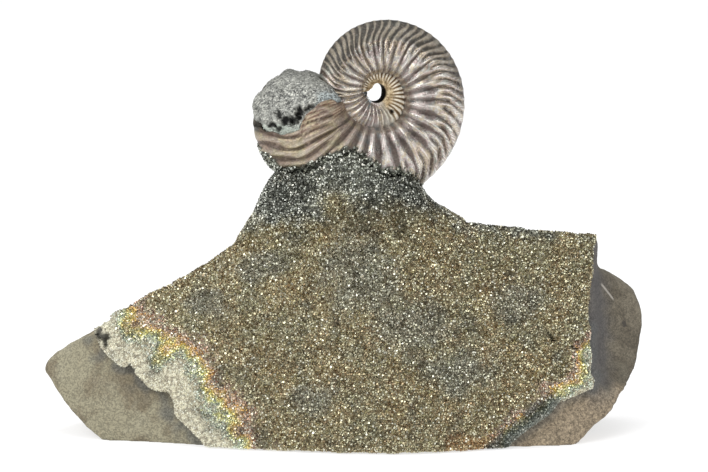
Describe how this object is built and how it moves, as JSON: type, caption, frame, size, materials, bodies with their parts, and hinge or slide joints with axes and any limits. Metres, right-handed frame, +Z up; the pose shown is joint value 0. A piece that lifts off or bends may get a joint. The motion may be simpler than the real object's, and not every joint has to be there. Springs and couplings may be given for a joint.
{
  "type": "pyritized ammonite fossil",
  "caption": "Ribbed coiled ammonite turned to pyrite, held upright by a crystal mound on a loose siltstone block with a pyrite-crusted face.",
  "frame": {"origin": "middle of the footprint, at the height of the flat foot it stands on", "axes": "+X to the right along the block as the shell's side is faced, +Y away from the viewer through the block, +Z up"},
  "size_m": [0.1444, 0.0498, 0.0998],
  "materials": {
    "siltstone": "smooth matte warm grey-brown siltstone",
    "pyrite_druse": "sparkling olive-gold crystal crust, dark silver on the mound",
    "pearly_pyrite": "pearly pinkish bronze with a satin metallic shine",
    "grey_filling": "grainy grey mineral"
  },
  "bodies": {
    "root": {"matrix_stone": "siltstone", "pyrite_crust": "pyrite_druse", "ammonite_shell": "pearly_pyrite", "chamber_fill": "grey_filling"}
  },
  "joints": []
}
